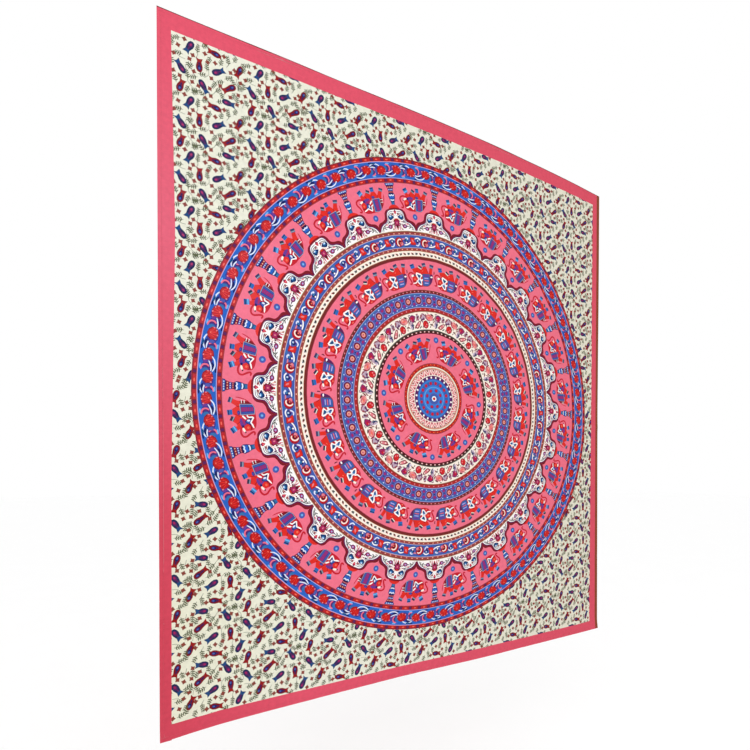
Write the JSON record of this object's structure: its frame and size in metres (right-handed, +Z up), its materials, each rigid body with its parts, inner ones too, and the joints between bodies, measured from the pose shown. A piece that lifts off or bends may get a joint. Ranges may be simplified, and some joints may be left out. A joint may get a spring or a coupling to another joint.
{
  "type": "tapestry wall hanging",
  "caption": "Printed cotton wall tapestry with rings of elephants and flowers on a paisley field, a plain border, and stitched hems on all four sides.",
  "frame": {"origin": "middle of the flat strip on the back of the top hem, between its edge fold and its line of stitches", "axes": "+Z up, +Y out of the back of the cloth towards the wall, so the printed front faces -Y and +X is the viewer's right"},
  "size_m": [2.134, 0.003, 2.286],
  "materials": {
    "printed_cotton": "plain-woven cotton sheeting, screen printed in reds, blues, cream and green, matte",
    "hem_cotton": "the same cotton turned over twice, crimson dye showing paler on its wrong side, matte",
    "sewing_thread": "twisted sewing thread, crimson, slight sheen"
  },
  "bodies": {
    "root": {"printed_panel": "printed_cotton", "hem_top": "hem_cotton", "hem_bottom": "hem_cotton", "hem_left": "hem_cotton", "hem_right": "hem_cotton", "needle_thread_top": "sewing_thread", "needle_thread_bottom": "sewing_thread", "needle_thread_left": "sewing_thread", "needle_thread_right": "sewing_thread", "bobbin_thread_top": "sewing_thread", "bobbin_thread_bottom": "sewing_thread", "bobbin_thread_left": "sewing_thread", "bobbin_thread_right": "sewing_thread"}
  },
  "joints": []
}
